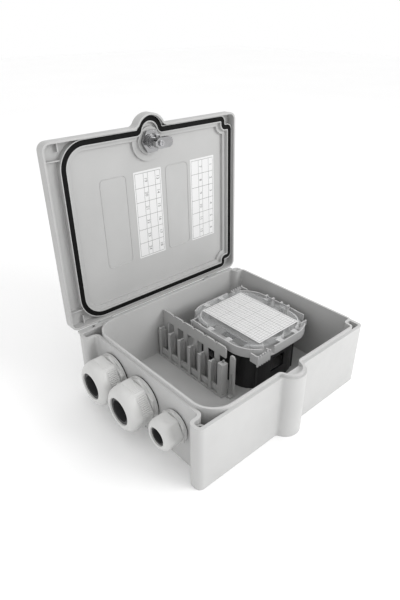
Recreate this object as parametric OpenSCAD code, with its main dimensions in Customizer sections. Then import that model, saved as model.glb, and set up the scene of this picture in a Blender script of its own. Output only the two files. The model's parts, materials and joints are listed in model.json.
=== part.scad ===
// Wall-mount fibre termination box: tub base, hinged gasketed lid with a
// quarter-turn latch, three cable glands, adapter rack and a hinged splice tray.
// Frame: origin at the centre of the four wall-screw holes on the back face,
// +X along the hinge away from the glands, +Y towards the hinge, +Z out of the wall.

/* [Enclosure] */
// Outer width of the base, along the hinge
box_w = 312; // [308:1:320]
// Outer depth of the base, from latch side to hinge side
box_d = 250; // [248:1:254]
// Height of the base wall above the back face
box_h = 94; // [92:1:98]
// Thickness of the outer wall
wall = 4.5; // [4:0.1:5]
// Thickness of the floor
floor_t = 3; // [2.5:0.1:4]
// Height of the sealing bead above the outer lip
bead_h = 4.2; // [3.8:0.1:4.2]
// Corner radius of the seal path on the gland side
seal_r = 32; // [26:1:34]

/* [Lid] */
// Overhang of the lid past the base on every side
lid_over = 2.5; // [1.5:0.1:3]
// Thickness of the closed lid from its rim to its outer face
lid_t = 16.6; // [16:0.1:18]
// Depth of the recess behind the rim
lid_recess = 13.1; // [12.8:0.1:13.4]
// Opening angle at the hinge stop, measured from closed
lid_open = 92; // [90:1:100]

/* [Glands] */
// Thread radius of the two large glands
big_rt = 25; // [24:0.1:25.2]
// Thread radius of the small gland
small_rt = 17; // [16.2:0.1:17.2]
// Height of the gland axes above the back face
gland_z = 52; // [48:1:54]

/* [Rack and tray] */
// Number of adapter windows
n_win = 6; // [4:1:6]
// Spacing of the adapter windows
win_pitch = 22.6; // [21:0.1:22.6]
// Width of one adapter window
win_w = 13.6; // [11:0.1:14]
// Height of the tray floor above the back face
tray_z = 69; // [67:0.5:70]

/* [Mounting] */
// Radius of a wall-screw hole
screw_r = 2.75; // [2:0.05:2.8]
// Distance between wall-screw holes along the hinge
screw_sx = 290; // [289:0.5:291]
// Distance between wall-screw holes across the hinge
screw_sy = 229; // [228:0.5:230]

/* [Hidden] */
$fn = 48;
hw = box_w / 2;
hd = box_d / 2;
shell_c = [0.84, 0.84, 0.84];
recess = 17.5;                 // depth of the gland bay between the corner posts
wall_x = -hw + recess;         // outer face of the gland wall
seal_in = 5.5;                 // seal centreline to the outer face
rim_z = box_h + 0.4;           // lid rim when closed
plate_z = rim_z + lid_recess;  // inner face of the lid plate when closed
top_z = rim_z + lid_t;
hinge_y = hd + 5;
hinge_z = box_h - 4;
hinge_x = [-105, 105];
latch_y = -hd + 18;
cam_z = box_h - 19;             // underside of the latch cam when closed
tray_c = [64, 9];
tray_s = [138, 150];
post_y0 = 110;                 // first guide post, nearest the hinge
// gland rows: y, thread r, flange r, nut r, body bore r, mouth r, cable r, locknut r, washer t, flange top, nut top
GL = [[63, big_rt, 31.2, 31.5, 20, 18.6, 14.5, 31.5, 1.8, 9, 40],
      [-1.5, big_rt, 31.2, 31.5, 20, 18.6, 14.5, 31.5, 1.8, 9, 40],
      [-66, small_rt, 21, 21.5, 13.4, 12.2, 9.6, 22.5, 1.5, 7, 31]];

// ---------- outlines ----------
module soft(c, v) { offset(r = -c) offset(r = c + v) offset(r = -v) children(); }
module rrect(x0, y0, x1, y1, r) { translate([x0 + r, y0 + r]) offset(r = r) square([x1 - x0 - 2 * r, y1 - y0 - 2 * r]); }
module rbox(cx, cy, sx, sy, r) { rrect(cx - sx / 2, cy - sy / 2, cx + sx / 2, cy + sy / 2, r); }

// centreline of the seal: large corners on the gland side, small jogs round the
// screw pockets at the far corners, and a half-round bay for the latch
module seal2d() {
    soft(5, 5) difference() {
        union() {
            rrect(-hw + recess + seal_in, -hd + seal_in, hw - seal_in, hd - seal_in, seal_r);
            translate([0, -hd + seal_in]) square([hw - seal_in, box_d - 2 * seal_in]);
            translate([0, -hd + 6]) circle(17.5);
        }
        for (s = [-1, 1]) translate([hw - seal_in - 6, s * (hd - seal_in - 5.5)]) square([16, 15], center = true);
    }
}
module ring2d(a, b) { difference() { offset(delta = b) seal2d(); offset(delta = a) seal2d(); } }

// outer outline of the base with the gland bay cut in
module outer2d() {
    soft(5, 8) difference() {
        union() {
            translate([-hw, -hd]) square([box_w, box_d]);
            translate([0, -hd + 6]) circle(22);
        }
        translate([-hw - 1, -hd + 20]) square([recess + 1, box_d - 40]);
    }
}
module lid2d() {
    soft(9, 11) union() {
        translate([-hw - lid_over, -hd - lid_over]) square([box_w + 2 * lid_over, box_d + 2 * lid_over]);
        translate([0, -hd + 6]) circle(24.5);
    }
}

// ---------- placement ----------
module lid_pose() { translate([0, hinge_y, hinge_z]) rotate([-lid_open, 0, 0]) translate([0, -hinge_y, -hinge_z]) children(); }
module knuckle(x0, x1, r) { translate([x0, hinge_y, hinge_z]) rotate([0, 90, 0]) cylinder(h = x1 - x0, r = r); }
module out(y) { translate([wall_x, y, gland_z]) rotate([0, -90, 0]) children(); }
module pan_screw(x, y, z, d) { translate([x, y, z]) difference() {
    union() { cylinder(h = 2, r = 3.4); translate([0, 0, 2]) cylinder(h = 0.8, r1 = 3.4, r2 = 2.2); translate([0, 0, -d]) cylinder(h = d, r = 1.5); }
    for (a = [0, 90]) rotate([0, 0, a]) translate([-2, -0.4, 1.6]) cube([4, 0.8, 2]); } }

// ---------- base ----------
module base_shell() {
    color(shell_c) difference() {
        union() {
            linear_extrude(floor_t) outer2d();
            linear_extrude(box_h) difference() { outer2d(); offset(delta = -wall) outer2d(); }
            linear_extrude(box_h + bead_h) ring2d(-1.5, 1.5);
            // screw tubes in the four corner pockets
            for (p = [[-1, -1, box_h - 8], [-1, 1, 24], [1, 1, box_h], [1, -1, 24]])
                translate([p[0] * screw_sx / 2, p[1] * screw_sy / 2, 0]) cylinder(h = p[2], r = 5.7);
            // ledge the latch cam hooks under
            translate([0, 0, box_h - 3.4]) linear_extrude(3.4) intersection() {
                offset(delta = -1) seal2d();
                translate([-14, -hd - 14]) square([28, 16]);
            }
            // hinge knuckles with their webs
            for (c = hinge_x, s = [-1, 1]) {
                knuckle(c + s * 16 - 6, c + s * 16 + 6, 4);
                translate([c + s * 16 - 6, hd - 1, hinge_z - 4]) cube([12, 6, 8]);
            }
            // ledge along the hinge side that covers the gap and stops the open lid's arms
            for (x = [[hinge_x[0] + 21, hinge_x[1] - 21], [-hw + 6, hinge_x[0] - 21], [hinge_x[1] + 21, hw - 6]])
                translate([x[0], hd - 1, hinge_z - 2.5]) cube([x[1] - x[0], 11.5, 3.5]);
            // bosses for the rack and support screws
            for (p = rack_pts) translate([p[0], p[1], 1]) cylinder(h = floor_t - 1 + 0.5, r = 4.5);
        }
        for (sx = [-1, 1], sy = [-1, 1]) translate([sx * screw_sx / 2, sy * screw_sy / 2, -1]) cylinder(h = box_h + 4, r = screw_r);
        for (g = GL) out(g[0]) translate([0, 0, -12]) cylinder(h = 20, r = g[1] + 0.1);
        for (c = hinge_x) knuckle(c - 24, c + 24, 2);
        // small drain dimples in the hinge-side lip
        for (i = [0 : 4]) translate([-96 + i * 46, hd - 2.2, box_h - 1.5]) cylinder(h = 3, r = 1.5);
        for (p = concat(rack_pts, sup_pts)) translate([p[0], p[1], 0.8]) cylinder(h = 6, r = 1.5);
    }
}
rack_pts = [[-18, 98.7], [-18, 30.9], [-18, -13]];
sup_pts = [[tray_c[0] - 46, tray_c[1]], [tray_c[0] + 46, tray_c[1]], [tray_c[0], tray_c[1] - 51], [tray_c[0], tray_c[1] + 51]];

module hinge_pins() { color([0.75, 0.75, 0.77]) for (c = hinge_x) knuckle(c - 22.5, c + 22.5, 2); }

// ---------- lid, drawn closed and swung to its stop ----------
module lid_shell() {
    color([0.8, 0.8, 0.8]) lid_pose() difference() {
        union() {
            difference() {
                union() {
                    translate([0, 0, rim_z]) linear_extrude(lid_t - 3) lid2d();
                    translate([0, 0, top_z - 3]) linear_extrude(1.8) offset(delta = -0.7) lid2d();
                    translate([0, 0, top_z - 1.2]) linear_extrude(1.2) offset(delta = -2.2) lid2d();
                }
                translate([0, 0, rim_z - 1]) linear_extrude(lid_recess + 1) offset(delta = -2.8) lid2d();
            }
            // gasket channel walls and the raised border inside them
            translate([0, 0, rim_z + 4.2]) linear_extrude(lid_recess - 4) ring2d(-5, 4.6);
            translate([0, 0, rim_z + 9]) linear_extrude(lid_recess - 8.8) ring2d(-10.5, -4.8);
            // apron and seat of the latch
            translate([0, 0, rim_z + 9.6]) linear_extrude(lid_recess - 9.4) intersection() { offset(delta = -4.8) seal2d(); translate([0, latch_y + 1]) circle(26.5); }
            translate([0, 0, rim_z + 6]) linear_extrude(lid_recess - 5.8) intersection() { offset(delta = -4.8) seal2d(); translate([0, latch_y]) circle(18.6); }
            // stiffening ribs in the gland-side corners
            for (s = [-1, 1]) {
                translate([-hw - 1, s * (hd - 22) - 0.8, rim_z + 7]) cube([24, 1.6, lid_recess - 6.8]);
                translate([-hw + 20, s > 0 ? hd - 12 : -hd - 1, rim_z + 7]) cube([1.6, 13, lid_recess - 6.8]);
            }
            // raised frames beside the labels
            for (x = [-60, 50]) translate([x, -3, plate_z - 0.5]) linear_extrude(0.8) difference() { rbox(0, 0, 42, 128, 7); rbox(0, 0, 40.4, 126.4, 6.2); }
            // hinge arms
            for (c = hinge_x) {
                knuckle(c - 9.6, c + 9.6, 4);
                translate([c - 9.6, hinge_y - 3.6, hinge_z]) cube([19.2, 7.6, 12]);
            }
        }
        translate([0, 0, rim_z + 4]) linear_extrude(4) ring2d(-3.4, 3.4);
        for (c = hinge_x) knuckle(c - 11, c + 11, 2.06);
        translate([0, latch_y, rim_z - 1]) cylinder(h = lid_t + 3, r = 9.4);
    }
}
module lid_gasket() { color([0.05, 0.05, 0.05]) lid_pose() translate([0, 0, rim_z + 4.6]) linear_extrude(3.4) ring2d(-3.4, 3.4); }
module label(cx, sx, sy) { color([0.92, 0.92, 0.92]) lid_pose() translate([cx, -3, plate_z - 0.3]) linear_extrude(0.3) rbox(0, 0, sx, sy, 1); }
module lid_label_left() { label(-3, 48, 128); }
module lid_label_right() { label(100, 48, 128); }

// ---------- latch ----------
module at_latch(z) { lid_pose() translate([0, latch_y, z]) children(); }
module latch_housing() {
    color([0.55, 0.55, 0.57]) at_latch(0) difference() {
        union() {
            translate([0, 0, top_z]) cylinder(h = 1.6, r = 14);
            translate([0, 0, top_z + 1.6]) cylinder(h = 1.2, r1 = 14, r2 = 12.4);
            translate([0, 0, rim_z - 1.6]) cylinder(h = lid_t + 1.6, r = 9.4);
        }
        translate([0, 0, rim_z - 5]) cylinder(h = lid_t + 20, r = 6.05);
    }
}
module latch_nut() {
    color([0.6, 0.6, 0.62]) at_latch(rim_z) difference() {
        union() { cylinder(h = 4, r = 16.4, $fn = 6); translate([0, 0, 4]) cylinder(h = 2, r = 14.2); }
        translate([0, 0, -1]) cylinder(h = 9, r = 9.4);
    }
}
module latch_barrel() {
    color([0.6, 0.6, 0.62]) at_latch(0) difference() {
        union() {
            translate([0, 0, cam_z + 8]) cylinder(h = top_z - cam_z - 6.6, r = 6);
            translate([0, 0, rim_z - 3.2]) cylinder(h = 1.3, r = 8);
        }
        translate([-4, -4, top_z - 9]) cube([8, 8, 14]);
        translate([0, 0, cam_z + 7]) cylinder(h = 7, r = 2);
    }
}
module latch_cam() {
    color([0.66, 0.66, 0.68]) at_latch(cam_z) difference() {
        union() {
            cylinder(h = 8, r = 7.5);
            translate([0, -7, 0]) cube([13, 14, 4.5]);
            translate([13, 0, 0]) cylinder(h = 4.5, r = 7);
            translate([12, -5, 0]) cube([7, 10, box_h - 3.8 - cam_z]);
            translate([-9, -3, 0]) cube([5, 6, 5.6]);
        }
        translate([0, 0, -1]) cylinder(h = 10, r = 2);
    }
}
module latch_cam_screw() {
    color([0.5, 0.5, 0.52]) at_latch(cam_z) difference() {
        union() { translate([0, 0, -2.4]) cylinder(h = 2.4, r = 3.8); cylinder(h = 12.6, r = 2); }
        for (a = [0, 90]) rotate([0, 0, a]) translate([-2.4, -0.5, -3.4]) cube([4.8, 1, 2]);
    }
}

// ---------- adapter rack ----------
module adapter_rack() {
    y1 = post_y0 - (n_win - 1) * win_pitch;
    color([0.75, 0.75, 0.75]) difference() {
        union() {
            translate([-27.5, y1 - 26, floor_t + 0.5]) cube([20, post_y0 - y1 + 31, 2]);
            for (i = [0 : n_win - 1]) translate([0, post_y0 - i * win_pitch, 0]) {
                translate([-27, -2.8, 5]) cube([3, 5.6, 49]);
                translate([-24.5, -1.3, 5]) cube([7, 2.6, 49]);
                translate([-18.5, -2.8, 5]) cube([2.4, 5.6, 43]);
            }
            for (i = [0 : n_win - 2]) translate([-25, post_y0 - (i + 1) * win_pitch, 8]) cube([3, win_pitch, 9]);
            translate([-25, y1 - 20, 8]) cube([3, 20, 9]);
            translate([-27, y1 - 24.5, 5]) cube([12, 8.5, 53]);
            translate([-27, y1 - 24.5, 57]) cube([3, 8.5, 3]);
            translate([-27, y1 - 18, 57]) cube([12, 2, 3]);
        }
        for (p = rack_pts) translate([p[0], p[1], 0]) cylinder(h = 12, r = 1.7);
        for (p = rack_pts) translate([p[0], p[1], 5.5]) cylinder(h = 4, r = 3.6);
        translate([-19.8, y1 - 20, 20]) cube([2, 5, 46]);
    }
}
module adapter_panel() {
    y1 = post_y0 - (n_win - 1) * win_pitch;
    color([0.74, 0.74, 0.74]) difference() {
        translate([-13.6, y1 - 18, 5.5]) cube([2.6, post_y0 - y1 + 24, 74]);
        for (i = [0 : n_win - 1]) translate([-15, post_y0 - (i + 0.5) * win_pitch - win_w / 2, 0]) {
            translate([0, 0, 21]) cube([5, win_w, 41]);
            translate([0, -2.2, 77.6]) cube([5, 4, 3]);
            translate([0, win_w / 2 - 4, 8]) cube([5, 8, 7]);
        }
        for (i = [0 : n_win - 1]) translate([-15, post_y0 - i * win_pitch - 0.9, 76]) cube([5, 1.8, 5]);
    }
}
module rack_end_plate() {
    y1 = post_y0 - (n_win - 1) * win_pitch;
    color([0.74, 0.74, 0.74]) difference() {
        union() {
            translate([-13.6, y1 - 35.4, floor_t]) cube([2.6, 9, 67]);
            translate([-13.6, y1 - 33.9, floor_t]) cube([2.6, 6, 69]);
            translate([-20, y1 - 35.4, floor_t]) cube([9, 6.6, 3]);
        }
        translate([-15, y1 - 32, 12]) cube([5, 2.2, 30]);
    }
}
module rack_screws() { color([0.7, 0.7, 0.72]) for (p = rack_pts) pan_screw(p[0], p[1], 5.5, 4.6); }

// ---------- tray support: slack-storage drum with two hinge ears ----------
ear_y = [38, -18];
piv = [tray_c[0] + tray_s[0] / 2 + 5, tray_z + 3];
module tray_support() {
    color([0.06, 0.06, 0.06]) difference() {
        union() {
            translate([0, 0, floor_t]) linear_extrude(tray_z - 0.5 - floor_t) difference() { rbox(tray_c[0], tray_c[1], 110, 120, 34); rbox(tray_c[0], tray_c[1], 104, 114, 31); }
            for (p = sup_pts) translate([p[0], p[1], floor_t]) cylinder(h = 4, r = 7);
            for (y = ear_y) {
                translate([tray_c[0] + 53, y - 9.4, tray_z - 7]) cube([piv[0] - tray_c[0] - 49.5, 18.8, 6.5]);
                for (s = [-1, 1]) translate([piv[0] - 3.5, y + s * 7.4 - 2, tray_z - 6]) cube([7, 4, 12.5]);
            }
            for (x = [-1, 1], y = [-1, 1]) translate([tray_c[0] + x * 38 - 4, tray_c[1] + y * 54 - 1.5, floor_t]) cube([8, 6, tray_z - 12]);
        }
        // fibre passages through the drum
        for (a = [-1, 1]) translate([tray_c[0] + a * 52 - 5, tray_c[1] + 18, 22]) cube([10, 26, 24]);
        for (a = [-1, 1]) translate([tray_c[0] - 14, tray_c[1] + a * 57 - 5, 22]) cube([28, 10, 24]);
        for (p = sup_pts) translate([p[0], p[1], 0]) cylinder(h = 12, r = 1.7);
        for (y = ear_y) translate([piv[0], y - 12, piv[1]]) rotate([-90, 0, 0]) cylinder(h = 24, r = 1.5);
    }
}
module support_screws() { color([0.7, 0.7, 0.72]) for (p = sup_pts) pan_screw(p[0], p[1], floor_t + 4, 6); }
module tray_hinge_pins() { color([0.75, 0.75, 0.77]) for (y = ear_y) translate([piv[0], y - 9.6, piv[1]]) rotate([-90, 0, 0]) cylinder(h = 19.2, r = 1.5); }

// ---------- splice tray ----------
cov_x = tray_c[0] + tray_s[0] / 2 - 5;
cov_z = tray_z + 16.2;
cov_y = [24, -6];
module tray2d(d) { offset(delta = d) rbox(tray_c[0], tray_c[1], tray_s[0], tray_s[1], 46); }
module entry(a) { translate([tray_c[0], tray_c[1], 0]) rotate([0, 0, a]) children(); }
module splice_tray() {
    color([0.78, 0.78, 0.78]) difference() {
        union() {
            translate([0, 0, tray_z]) linear_extrude(2) tray2d(0);
            // outer wall, open at the two fibre entries
            translate([0, 0, tray_z]) linear_extrude(14) difference() {
                tray2d(0); tray2d(-1.8);
                for (a = [0, 180]) entry(a) translate([-62, -80]) square([34, 12]);
                for (a = [0, 180]) entry(a) translate([48, -72]) square([30, 34]);
            }
            // inner guide wall
            translate([0, 0, tray_z]) linear_extrude(14) intersection() {
                difference() { tray2d(-10); tray2d(-11.6); }
                union() for (a = [0, 180]) entry(a) { translate([30, -90]) square([60, 62]); translate([-58, -90]) square([22, 40]); }
            }
            // toothed strips at the entries
            for (a = [0, 180]) entry(a) {
                difference() {
                    translate([-64, -76.5, tray_z - 3.4]) cube([26, 2, 17.4]);
                    for (i = [0 : 4]) translate([-61.5 + i * 4.8, -78, tray_z + 11]) cube([2.4, 5, 5]);
                    for (i = [0 : 4]) translate([-61.5 + i * 4.8, -78, tray_z - 5]) cube([2.4, 5, 3.4]);
                }
                translate([-64, -76.5, tray_z]) cube([2, 14, 13]);
                translate([-40, -76.5, tray_z]) cube([2, 8, 13]);
                translate([-64, -76.5, tray_z]) cube([26, 10, 2]);
                // corner ears
                translate([66, -50, tray_z]) cube([1.8, 18, 14]);
                translate([50, -58, tray_z]) cube([15, 1.8, 9]);
            }
            // retaining tabs that reach in over the fibre
            for (a = [0, 180]) entry(a) {
                for (y = [-24, 12]) translate([-68.6, y, tray_z + 12]) cube([10, 8, 1.6]);
                for (x = [-14, 18]) translate([x, -74, tray_z + 12]) cube([8, 10, 1.6]);
            }
            // winding hubs
            for (a = [0, 180]) entry(a) {
                translate([0, -44, tray_z]) linear_extrude(12) difference() { circle(19); circle(17.4); translate([-20, 3]) square([40, 20]); }
                for (x = [-30, 30]) translate([x, -52, tray_z]) cylinder(h = 11, r = 2.4);
            }
            // pegs for the splice holder
            for (s = [-1, 1]) translate([tray_c[0], tray_c[1] + s * 24, tray_z]) cylinder(h = 6, r = 2);
            // hinge lugs to the support
            for (y = ear_y) {
                translate([piv[0], y - 5, piv[1]]) rotate([-90, 0, 0]) cylinder(h = 10, r = 3);
                translate([piv[0] - 6.5, y - 5, piv[1] - 1.6]) cube([5.5, 10, 4.6]);
            }
            // cover hinge ears
            for (y = cov_y, s = [-1, 1]) translate([cov_x - 2.6, y + s * 6.6 - 1.6, tray_z]) cube([5.2, 3.2, 18.6]);
        }
        for (y = ear_y) translate([piv[0], y - 8, piv[1]]) rotate([-90, 0, 0]) cylinder(h = 16, r = 1.56);
        for (y = cov_y) translate([cov_x, y - 12, cov_z]) rotate([-90, 0, 0]) cylinder(h = 24, r = 1.2);
        // slot down to the slack store
        translate([tray_c[0] - 50, tray_c[1] - 34, tray_z - 1]) cube([14, 66, 4]);
        for (a = [0, 180]) entry(a) translate([52, -40, tray_z - 1]) cylinder(h = 4, r = 5);
    }
}
module splice_holder() {
    color([0.3, 0.3, 0.3]) difference() {
        union() {
            translate([tray_c[0] - 22, tray_c[1] - 30, tray_z + 2]) cube([44, 60, 1.6]);
            for (i = [0 : 12]) translate([tray_c[0] - 22 + i * 3.55, tray_c[1] - 28, tray_z + 3.2]) cube([1.2, 56, 5.6]);
        }
        for (s = [-1, 1]) translate([tray_c[0], tray_c[1] + s * 24, tray_z]) cylinder(h = 12, r = 2.0);
    }
}
module tray_cover() {
    color([0.85, 0.9, 0.92, 0.3]) difference() {
        union() {
            difference() {
                translate([0, 0, tray_z + 14.4]) linear_extrude(1.5) rbox(tray_c[0] - 3, tray_c[1], tray_s[0] - 16, tray_s[1] - 10, 40);
                for (y = cov_y) translate([cov_x - 3.4, y - 9.4, tray_z + 13]) cube([12, 18.8, 6]);
            }
            for (y = cov_y) {
                translate([cov_x, y - 4.6, cov_z]) rotate([-90, 0, 0]) cylinder(h = 9.2, r = 2);
                translate([cov_x - 10, y - 4.6, tray_z + 14.4]) cube([9.6, 9.2, 1.5]);
            }
        }
        for (y = cov_y) translate([cov_x, y - 12, cov_z]) rotate([-90, 0, 0]) cylinder(h = 24, r = 1.25);
    }
}
module cover_hinge_pins() { color([0.75, 0.75, 0.77]) for (y = cov_y) translate([cov_x, y - 8.3, cov_z]) rotate([-90, 0, 0]) cylinder(h = 16.6, r = 1.2); }
module tray_label() { color([0.93, 0.93, 0.93]) translate([0, 0, tray_z + 15.9]) linear_extrude(0.3) rbox(tray_c[0] + 1, tray_c[1], 84, 116, 0.8); }

// ---------- cable glands, drawn outward from the wall ----------
module gland_washer(g) { color([0.1, 0.1, 0.1]) out(g[0]) difference() { cylinder(h = g[8], r = g[2] - 1.2); translate([0, 0, -1]) cylinder(h = 6, r = g[1]); } }
module gland_body(g) {
    color([0.87, 0.87, 0.87]) out(g[0]) difference() {
        union() {
            translate([0, 0, -16]) cylinder(h = 18, r = g[1]);
            translate([0, 0, g[8]]) cylinder(h = (g[9] - g[8]) / 2, r = g[2]);
            translate([0, 0, (g[9] + g[8]) / 2 - 0.1]) cylinder(h = (g[9] - g[8]) / 2 + 0.1, r = g[2] + 1.8, $fn = 6);
            translate([0, 0, g[9] - 1]) cylinder(h = g[10] * 0.62 - g[9], r = g[1] - 1.4);
        }
        translate([0, 0, -18]) cylinder(h = 60, r = g[4]);
    }
}
// dome nut: rounded nose, flats on the grip
module gland_nut(g) {
    z0 = g[9] + 0.4; z1 = g[10]; zs = z0 + (z1 - z0) * 0.5; rn = g[3];
    color([0.88, 0.88, 0.88]) out(g[0]) difference() {
        intersection() {
            rotate_extrude($fn = 96) polygon(concat([[0, z0], [rn - 0.8, z0], [rn, z0 + 0.8], [rn, zs]],
                [for (a = [10 : 10 : 80]) [g[5] + 1.6 + (rn - g[5] - 1.6) * cos(a), zs + (z1 - zs) * sin(a)]], [[g[5] + 1.6, z1], [0, z1]]));
            union() {
                translate([0, 0, z0 - 1]) cylinder(h = zs - z0 + 4, r = rn * 1.075, $fn = 6);
                translate([0, 0, zs + 1.2]) cylinder(h = 30, r = rn + 1);
            }
        }
        translate([0, 0, z0 - 1]) cylinder(h = z1 * 0.64 - z0 + 1, r = g[1] - 1.1);
        translate([0, 0, z0]) cylinder(h = 60, r = g[5]);
    }
}
// rubber insert with a cable bore and a thin blind diaphragm
module gland_seal(g) {
    e = g[10] * 0.62 - 1;
    color([0.12, 0.12, 0.12]) out(g[0]) difference() {
        union() { translate([0, 0, 4]) cylinder(h = e - 4, r = g[4]); translate([0, 0, e - 1]) cylinder(h = g[10] - 2.2 - e + 1, r = g[5] - 0.3); }
        translate([0, 0, 5.5]) cylinder(h = 60, r = g[6]);
    }
}
module gland_locknut(g) {
    color([0.87, 0.87, 0.87]) out(g[0]) translate([0, 0, -13.2]) difference() {
        cylinder(h = 6, r = g[7], $fn = 6);
        translate([0, 0, -1]) cylinder(h = 9, r = g[1]);
    }
}
module gland_a_washer() { gland_washer(GL[0]); }
module gland_a_body() { gland_body(GL[0]); }
module gland_a_nut() { gland_nut(GL[0]); }
module gland_a_seal() { gland_seal(GL[0]); }
module gland_a_locknut() { gland_locknut(GL[0]); }
module gland_b_washer() { gland_washer(GL[1]); }
module gland_b_body() { gland_body(GL[1]); }
module gland_b_nut() { gland_nut(GL[1]); }
module gland_b_seal() { gland_seal(GL[1]); }
module gland_b_locknut() { gland_locknut(GL[1]); }
module gland_c_washer() { gland_washer(GL[2]); }
module gland_c_body() { gland_body(GL[2]); }
module gland_c_nut() { gland_nut(GL[2]); }
module gland_c_seal() { gland_seal(GL[2]); }
module gland_c_locknut() { gland_locknut(GL[2]); }

base_shell();
hinge_pins();
lid_shell();
lid_gasket();
lid_label_left();
lid_label_right();
latch_housing();
latch_nut();
latch_barrel();
latch_cam();
latch_cam_screw();
adapter_rack();
adapter_panel();
rack_end_plate();
rack_screws();
tray_support();
support_screws();
tray_hinge_pins();
splice_tray();
splice_holder();
tray_cover();
cover_hinge_pins();
tray_label();
gland_a_washer();
gland_a_body();
gland_a_nut();
gland_a_seal();
gland_a_locknut();
gland_b_washer();
gland_b_body();
gland_b_nut();
gland_b_seal();
gland_b_locknut();
gland_c_washer();
gland_c_body();
gland_c_nut();
gland_c_seal();
gland_c_locknut();
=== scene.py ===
import json
import math
import bpy
import bmesh
from mathutils import Vector, Matrix


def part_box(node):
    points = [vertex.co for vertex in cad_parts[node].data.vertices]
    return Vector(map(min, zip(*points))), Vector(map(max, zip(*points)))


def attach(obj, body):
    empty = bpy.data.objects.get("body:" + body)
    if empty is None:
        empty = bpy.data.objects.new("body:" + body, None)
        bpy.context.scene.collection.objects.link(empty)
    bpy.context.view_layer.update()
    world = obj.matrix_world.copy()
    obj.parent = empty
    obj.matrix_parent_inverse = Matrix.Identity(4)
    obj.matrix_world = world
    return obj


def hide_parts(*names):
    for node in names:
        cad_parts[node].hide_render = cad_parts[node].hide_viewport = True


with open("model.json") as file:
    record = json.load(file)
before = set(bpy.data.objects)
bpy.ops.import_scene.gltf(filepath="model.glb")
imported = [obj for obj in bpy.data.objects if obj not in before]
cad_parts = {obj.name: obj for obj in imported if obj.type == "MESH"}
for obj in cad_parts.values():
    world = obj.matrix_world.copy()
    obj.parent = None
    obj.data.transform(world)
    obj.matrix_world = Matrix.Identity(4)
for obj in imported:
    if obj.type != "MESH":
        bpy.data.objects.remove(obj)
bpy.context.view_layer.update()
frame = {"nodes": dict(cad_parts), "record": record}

N = frame["nodes"]
MM = 0.001


# ------------------------------------------------------------------ camera
def look(cam, az, el, target, dist):
    a, e = math.radians(az), math.radians(el)
    back = Vector((math.sin(a) * math.cos(e), -math.cos(a) * math.cos(e), math.sin(e)))
    cam.location = Vector(target) + back * dist
    cam.rotation_euler = back.to_track_quat("Z", "Y").to_euler()


cam_data = bpy.data.cameras.new("camera")
cam = bpy.data.objects.new("camera", cam_data)
bpy.context.scene.collection.objects.link(cam)
cam_data.sensor_width = 36
cam_data.lens = 30
cam_data.clip_start = 0.01
cam_data.clip_end = 20
look(cam, -42, 30, (-0.008, 0.038, 0.128), 0.7)
bpy.context.scene.camera = cam


# ------------------------------------------------------------------ materials
class Mat:
    """A small node builder. Coordinates are the object's own, in metres."""

    def __init__(self, name):
        self.m = bpy.data.materials.new(name)
        self.m.use_nodes = True
        self.t = self.m.node_tree
        self.bsdf = next(n for n in self.t.nodes if n.type == "BSDF_PRINCIPLED")
        self.co = self.t.nodes.new("ShaderNodeTexCoord")

    def node(self, kind, **props):
        n = self.t.nodes.new(kind)
        for k, v in props.items():
            setattr(n, k, v)
        return n

    def link(self, a, b):
        self.t.links.new(a, b)

    def noise(self, scale, detail=3.0, rough=0.5, stretch=None):
        n = self.node("ShaderNodeTexNoise")
        n.inputs["Scale"].default_value = scale
        n.inputs["Detail"].default_value = detail
        n.inputs["Roughness"].default_value = rough
        if stretch:
            mp = self.node("ShaderNodeMapping")
            mp.inputs["Scale"].default_value = stretch
            self.link(self.co.outputs["Object"], mp.inputs["Vector"])
            self.link(mp.outputs["Vector"], n.inputs["Vector"])
        else:
            self.link(self.co.outputs["Object"], n.inputs["Vector"])
        return n.outputs["Fac"]

    def ramp(self, fac, lo, hi, a, b):
        n = self.node("ShaderNodeMapRange")
        n.inputs["From Min"].default_value = lo
        n.inputs["From Max"].default_value = hi
        n.inputs["To Min"].default_value = a
        n.inputs["To Max"].default_value = b
        self.link(fac, n.inputs["Value"])
        return n.outputs["Result"]

    def mix(self, fac, a, b, mode="MIX"):
        n = self.node("ShaderNodeMix", data_type="RGBA", blend_type=mode)
        if isinstance(fac, (int, float)):
            n.inputs[0].default_value = fac
        else:
            self.link(fac, n.inputs[0])
        for i, v in ((6, a), (7, b)):
            if isinstance(v, (tuple, list)):
                n.inputs[i].default_value = (*v[:3], 1)
            else:
                self.link(v, n.inputs[i])
        return n.outputs[2]

    def edge(self, radius):
        """0 on flat faces, 1 on edges; also returns the softened normal."""
        bev = self.node("ShaderNodeBevel", samples=6)
        bev.inputs["Radius"].default_value = radius
        geo = self.node("ShaderNodeNewGeometry")
        dot = self.node("ShaderNodeVectorMath", operation="DOT_PRODUCT")
        self.link(bev.outputs["Normal"], dot.inputs[0])
        self.link(geo.outputs["True Normal"], dot.inputs[1])
        return self.ramp(dot.outputs["Value"], 0.97, 0.75, 0.0, 1.0), bev.outputs["Normal"]

    def bump(self, height, dist, normal=None, strength=1.0):
        n = self.node("ShaderNodeBump")
        n.inputs["Distance"].default_value = dist
        n.inputs["Strength"].default_value = strength
        self.link(height, n.inputs["Height"])
        if normal is not None:
            self.link(normal, n.inputs["Normal"])
        return n.outputs["Normal"]

    def set(self, **v):
        for k, x in v.items():
            s = self.bsdf.inputs[k.replace("_", " ")]
            if hasattr(x, "node"):
                self.link(x, s)
            else:
                s.default_value = (*x, 1) if isinstance(x, tuple) and len(x) == 3 else x
        return self.m


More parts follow.
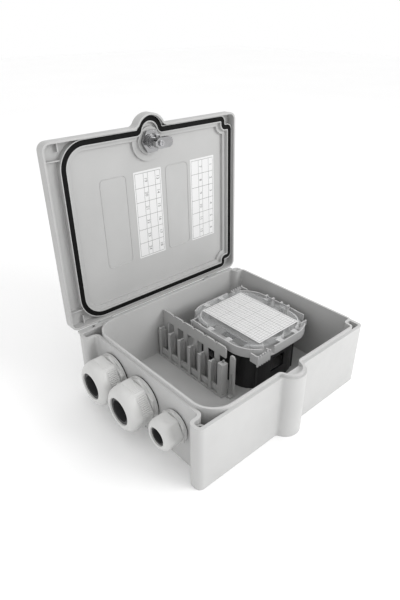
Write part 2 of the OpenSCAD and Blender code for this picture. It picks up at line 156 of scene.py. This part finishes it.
def plastic(name, rgb, rough=0.42, grain=1400, depth=0.00002, bevel=0.0007, wear_and_highlight=0.25, spec=0.45, blotch=0.04):
    k = Mat(name)
    edge, nrm = k.edge(bevel)
    big = k.noise(14, 4)
    fine = k.noise(grain, 2, 0.6)
    flow = k.noise(55, 2, 0.5, (1, 1, 0.25))
    dark = tuple(c * (1 - blotch) for c in rgb)
    lite = tuple(min(1, c * (1 + blotch)) for c in rgb)
    col = k.mix(k.ramp(big, 0.3, 0.7, 0, 1), dark, lite)
    col = k.mix(k.ramp(flow, 0.35, 0.75, 0, 0.25), col, tuple(c * 0.96 for c in rgb))
    # edges painted lighter towards white: partly wear, partly a painted edge highlight; the fine noise only varies
    # how strongly
    wear_and_edge_highlight = tuple(min(1, c * 1.0 + (1 - c) * wear_and_highlight) for c in rgb)
    chip = k.ramp(fine, 0.3, 0.65, 0.35, 1.0)
    m = k.node("ShaderNodeMath", operation="MULTIPLY")
    k.link(edge, m.inputs[0]); k.link(chip, m.inputs[1])
    col = k.mix(m.outputs[0], col, wear_and_edge_highlight)
    rgh = k.ramp(k.noise(90, 3), 0.3, 0.7, rough - 0.05, rough + 0.07)
    return k.set(Base_Color=col, Roughness=rgh, Specular_IOR_Level=spec, Normal=k.bump(fine, depth, nrm))


def metal(name, rgb, rough=0.2, bevel=0.0004, lines=(1, 1, 12)):
    k = Mat(name)
    edge, nrm = k.edge(bevel)
    brush = k.noise(420, 3, 0.6, lines)
    stain = k.noise(60, 4)
    col = k.mix(k.ramp(stain, 0.35, 0.7, 0, 1), tuple(c * 0.82 for c in rgb), rgb)
    # painted edge highlight: every edge is coloured 25 percent brighter
    col = k.mix(edge, col, tuple(min(1, c * 1.25) for c in rgb))
    rgh = k.ramp(brush, 0.3, 0.7, rough - 0.06, rough + 0.1)
    return k.set(Base_Color=col, Roughness=rgh, Metallic=1.0, Normal=k.bump(brush, 0.000012, nrm))


def rubber(name, rgb, rough=0.6, spec=0.3):
    k = Mat(name)
    edge, nrm = k.edge(0.0005)
    cell = k.noise(2600, 3, 0.7)
    col = k.mix(k.ramp(cell, 0.3, 0.7, 0, 1), tuple(c * 0.6 for c in rgb), tuple(c * 1.5 for c in rgb))
    # painted edge highlight: every edge is coloured about twice as bright
    col = k.mix(edge, col, tuple(c * 2.0 + 0.002 for c in rgb))
    return k.set(Base_Color=col, Roughness=k.ramp(k.noise(200, 2), 0.3, 0.7, rough - 0.08, rough + 0.1),
                 Specular_IOR_Level=spec, Normal=k.bump(cell, 0.00004, nrm))


def film(name, rgb):
    k = Mat(name)
    fibre = k.noise(900, 4, 0.7, (1, 0.3, 1))
    col = k.mix(k.ramp(fibre, 0.3, 0.7, 0, 1), tuple(c * 0.96 for c in rgb), rgb)
    return k.set(Base_Color=col, Roughness=k.ramp(k.noise(70, 2), 0.3, 0.7, 0.38, 0.5), Normal=k.bump(fibre, 0.00001))


def clear(name):
    k = Mat(name)
    haze = k.noise(40, 4)
    scratch = k.noise(700, 2, 0.6, (1, 8, 1))
    col = k.mix(k.ramp(haze, 0.3, 0.7, 0, 1), (0.9, 0.92, 0.93), (0.97, 0.98, 0.98))
    m = k.set(Base_Color=col, Roughness=k.ramp(scratch, 0.35, 0.7, 0.04, 0.13), Normal=k.bump(scratch, 0.000004))
    k.bsdf.inputs["IOR"].default_value = 1.45
    k.bsdf.inputs["Alpha"].default_value = 0.09
    return m


GREY = (0.5, 0.5, 0.496)
M = {
    "shell_plastic": plastic("shell_plastic_look", GREY, 0.4),
    "lid_plastic": plastic("lid_plastic_look", (0.44, 0.44, 0.436), 0.42),
    "inner_plastic": plastic("inner_plastic_look", (0.43, 0.43, 0.426), 0.38, bevel=0.0005),
    "tray_plastic": plastic("tray_plastic_look", (0.47, 0.47, 0.47), 0.32, bevel=0.0004),
    "gland_nylon": plastic("gland_nylon_look", (0.58, 0.58, 0.572), 0.36, bevel=0.0005, blotch=0.025),
    "black_plastic": plastic("black_plastic_look", (0.012, 0.012, 0.013), 0.35, wear_and_highlight=0.03, blotch=0.2),
    "gasket_rubber": rubber("gasket_rubber_look", (0.003, 0.003, 0.003), 0.6, 0.12),
    "seal_rubber": rubber("seal_rubber_look", (0.04, 0.04, 0.041), 0.5),
    "holder_rubber": rubber("holder_rubber_look", (0.1, 0.1, 0.1), 0.6),
    "label_film": film("label_film_look", (0.7, 0.7, 0.7)),
    "clear_plastic": clear("clear_plastic_look"),
    "zinc_alloy": metal("zinc_alloy_look", (0.36, 0.36, 0.365), 0.2),
    "steel": metal("steel_look", (0.42, 0.42, 0.43), 0.28),
}
ink = Mat("label_ink_look")
blot = ink.noise(1500, 3)
INK = ink.set(Base_Color=ink.mix(ink.ramp(blot, 0.3, 0.7, 0, 1), (0.09, 0.09, 0.09), (0.2, 0.2, 0.2)), Roughness=ink.ramp(blot, 0.3, 0.7, 0.4, 0.6))

slot_of = {s["node"]: s["material_slot"] for s in frame["record"]["subparts"]}
for name, ob in N.items():
    for i in range(len(ob.material_slots)):
        ob.material_slots[i].material = M[slot_of[name]]


# ------------------------------------------------------------------ helpers
def mesh_piece(name, verts, faces, material, body, smooth=None):
    me = bpy.data.meshes.new(name)
    me.from_pydata([tuple(v) for v in verts], [], faces)
    me.validate()
    ob = bpy.data.objects.new(name, me)
    bpy.context.scene.collection.objects.link(ob)
    me.materials.append(material)
    if smooth is not None:
        bm = bmesh.new(); bm.from_mesh(me)
        bmesh.ops.recalc_face_normals(bm, faces=bm.faces)
        for f in bm.faces:
            f.smooth = True
        for e in bm.edges:
            if len(e.link_faces) == 2 and e.calc_face_angle(0) > smooth:
                e.smooth = False
        bm.to_mesh(me); bm.free()
    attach(ob, body)
    return ob


# ------------------------------------------------------------------ gland dome nuts with ribbed grips
def dome_nut(tag, ribs):
    node = f"gland_{tag}_nut"
    lo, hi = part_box(node)
    blo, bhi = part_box(f"gland_{tag}_seal")
    cy, cz = (lo.y + hi.y) / 2, (lo.z + hi.z) / 2
    x_in, x_out = hi.x, lo.x
    rn = (hi.z - lo.z) / 2
    mouth = {"a": 18.6, "b": 18.6, "c": 12.2}[tag] * MM
    cav = {"a": 23.9, "b": 23.9, "c": 15.9}[tag] * MM
    length = x_in - x_out
    zs = length * 0.5
    flat = rn * 0.9
    prof = [(0.0, rn - 1.0 * MM, 0), (0.35 * MM, rn - 0.35 * MM, 0), (0.9 * MM, rn, 0)]
    g0, g1 = 1.6 * MM, zs - 0.6 * MM
    for i in range(9):
        prof.append((g0 + (g1 - g0) * i / 8, rn, 1))
    prof.append((zs + 0.2 * MM, rn, 0))
    re = mouth + 1.5 * MM
    for i in range(1, 15):
        a = math.radians(i * 6)
        prof.append((zs + (length - zs) * math.sin(a), re + (rn - re) * math.cos(a), 0))
    prof += [(length, re - 0.6 * MM, 0), (length - 0.1 * MM, mouth + 0.25 * MM, 0), (length - 0.6 * MM, mouth, 0),
             (length * 0.55, mouth, 2), (length * 0.52, cav, 2), (0.0, cav, 2)]
    n = 720 if ribs else 240
    count = 72
    verts, faces = [], []
    for ax, r, kind in prof:
        fade = 1.0 - min(1.0, max(0.0, (ax - zs * 0.85) / (zs * 0.8)))
        for j in range(n):
            th = 2 * math.pi * j / n
            rr = r
            if kind != 2 and ax < length * 0.8:
                k = (math.degrees(th) % 60) - 30
                h = flat / math.cos(math.radians(k))
                h = min(h, rn)
                rr = min(r, r + (h - rn) * fade)
                on_flat = max(0.0, min(1.0, (rn - h) / (0.25 * MM)))
                if kind == 1 and ribs:
                    rr -= 0.8 * MM * (0.5 + 0.5 * math.cos(count * th)) * (0.5 + 0.5 * on_flat)
            verts.append((x_in - ax, cy + rr * math.cos(th), cz + rr * math.sin(th)))
    m = len(prof)
    for i in range(m):
        i2 = (i + 1) % m
        for j in range(n):
            j2 = (j + 1) % n
            faces.append((i * n + j, i * n + j2, i2 * n + j2, i2 * n + j))
    ob = mesh_piece(f"dome_nut_{tag}", verts, faces, M["gland_nylon"], f"nut_{tag}", smooth=math.radians(38))
    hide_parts(node)
    return ob


for tag in "abc":
    dome_nut(tag, tag != "c")


# ------------------------------------------------------------------ printing on the labels
class Print:
    """Flat strips and digits with a little thickness, placed by a map from label space (u, v, lift) to the frame."""

    def __init__(self, place):
        self.v, self.f, self.place = [], [], place

    def strip(self, u0, v0, u1, v1, w, lift=0.00006):
        d = Vector((u1 - u0, v1 - v0)); d.normalize()
        p = Vector((-d.y, d.x)) * w / 2
        q = [(u0 + p.x, v0 + p.y), (u1 + p.x, v1 + p.y), (u1 - p.x, v1 - p.y), (u0 - p.x, v0 - p.y)]
        b = len(self.v)
        self.v += [self.place(a, c, 0.0) for a, c in q] + [self.place(a, c, lift) for a, c in q]
        self.f += [(b + 4, b + 5, b + 6, b + 7), (b + 3, b + 2, b + 1, b)]
        self.f += [(b + i, b + (i + 1) % 4, b + 4 + (i + 1) % 4, b + 4 + i) for i in range(4)]

    def digits(self, text, u, v, size, sideways=True, lift=0.00006):
        cu = bpy.data.curves.new("digits", "FONT")
        cu.body = text; cu.size = size; cu.align_x = "CENTER"; cu.align_y = "CENTER"
        cu.extrude = lift / 2; cu.resolution_u = 3
        ob = bpy.data.objects.new("digits", cu)
        bpy.context.scene.collection.objects.link(ob)
        dg = bpy.context.evaluated_depsgraph_get()
        me = bpy.data.meshes.new_from_object(ob.evaluated_get(dg))
        b = len(self.v)
        for p in me.vertices:
            x, y = p.co.x, p.co.y
            if sideways:
                x, y = y, -x
            self.v.append(self.place(u + x, v + y, p.co.z + lift / 2))
        self.f += [tuple(b + i for i in q.vertices) for q in me.polygons]
        bpy.data.objects.remove(ob); bpy.data.curves.remove(cu); bpy.data.meshes.remove(me)

    def done(self, name, body):
        ob = mesh_piece(name, self.v, self.f, INK, body)
        bm = bmesh.new(); bm.from_mesh(ob.data)
        bmesh.ops.remove_doubles(bm, verts=bm.verts, dist=1e-7)
        bmesh.ops.recalc_face_normals(bm, faces=bm.faces)
        bm.to_mesh(ob.data); bm.free()
        return ob


def lid_place(node):
    """Label space of a lid label: u along +X, v up the open lid, lift towards the inside."""
    ob = N[node]
    co = [Vector(v.co) for v in ob.data.vertices]
    lo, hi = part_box(node)
    # the lid leans back, so v runs along the slanted face
    low = min((c for c in co), key=lambda c: c.z)
    top = max((c for c in co), key=lambda c: c.z)
    lean = math.radians(2)
    vdir = Vector((0, math.sin(lean), math.cos(lean)))
    ndir = Vector((0, -math.cos(lean), math.sin(lean)))
    cen = (lo + hi) / 2
    face = max(c.dot(ndir) for c in co)
    off = face - cen.dot(ndir)
    length = max(c.dot(vdir) for c in co) - min(c.dot(vdir) for c in co)
    return (lambda u, v, l: tuple(cen + Vector((u, 0, 0)) + vdir * v + ndir * (off + l))), hi.x - lo.x, length


for node, first, left in (("lid_label_left", 13, 19), ("lid_label_right", 1, 7)):
    place, w, h = lid_place(node)
    pr = Print(place)
    x0, x1, y0, y1 = -w / 2 + 0.0022, w / 2 - 0.0022, -h / 2 + 0.0022, h / 2 - 0.003
    for i in range(7):
        y = y0 + (y1 - y0) * i / 6
        pr.strip(x0, y, x1, y, 0.0005)
    for fr in (0.0, 0.33, 0.5, 0.8, 1.0):
        x = x0 + (x1 - x0) * fr
        pr.strip(x, y0, x, y1, 0.0004)
    for i in range(6):
        y = y1 - (y1 - y0) * (i + 0.5) / 6
        pr.digits(str(left + i), x0 + (x1 - x0) * 0.415, y, 0.0068)
        pr.digits(str(first + i), x0 + (x1 - x0) * 0.9, y, 0.0068)
    pr.done(node + "_print", "lid")

lo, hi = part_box("tray_label")
pr = Print(lambda u, v, l: (u, v, hi.z + l))
a0, a1, b0, b1 = lo.x + 0.0025, hi.x - 0.0025, lo.y + 0.0025, hi.y - 0.0025
rows, cols = 24, 12
for i in range(rows + 1):
    y = b0 + (b1 - b0) * i / rows
    pr.strip(a0, y, a1, y, 0.00045 if i % 6 == 0 else 0.00022)
for i in range(cols + 1):
    x = a0 + (a1 - a0) * i / cols
    pr.strip(x, b0, x, b1, 0.00045 if i % 4 == 0 else 0.00022)
pr.done("tray_label_print", "cover")


# ------------------------------------------------------------------ stage and light
floor_me = bpy.data.meshes.new("floor")
floor_me.from_pydata([(-6, -6, 0), (6, -6, 0), (6, 6, 0), (-6, 6, 0)], [], [(0, 1, 2, 3)])
floor = bpy.data.objects.new("floor", floor_me)
bpy.context.scene.collection.objects.link(floor)
fm = Mat("floor_look")
floor_me.materials.append(fm.set(Base_Color=fm.mix(fm.ramp(fm.noise(2, 3), 0.3, 0.7, 0, 1), (0.985, 0.985, 0.985), (1.0, 1.0, 1.0)), Roughness=0.7, Specular_IOR_Level=0.15))
floor.location.z = -0.0002

world = bpy.data.worlds.new("world")
bpy.context.scene.world = world
world.use_nodes = True
world.node_tree.nodes["Background"].inputs[0].default_value = (1, 1, 1, 1)
world.node_tree.nodes["Background"].inputs[1].default_value = 1.0
bpy.context.scene.view_settings.view_transform = "Standard"


def area(name, at, to, size, power):
    li = bpy.data.lights.new(name, "AREA")
    li.shape = "RECTANGLE"; li.size, li.size_y = size; li.energy = power
    ob = bpy.data.objects.new(name, li)
    ob.location = at
    ob.rotation_euler = (Vector(at) - Vector(to)).to_track_quat("Z", "Y").to_euler()
    bpy.context.scene.collection.objects.link(ob)


area("key", (0.7, -1.25, 0.9), (0, 0, 0.1), (0.8, 0.7), 11)
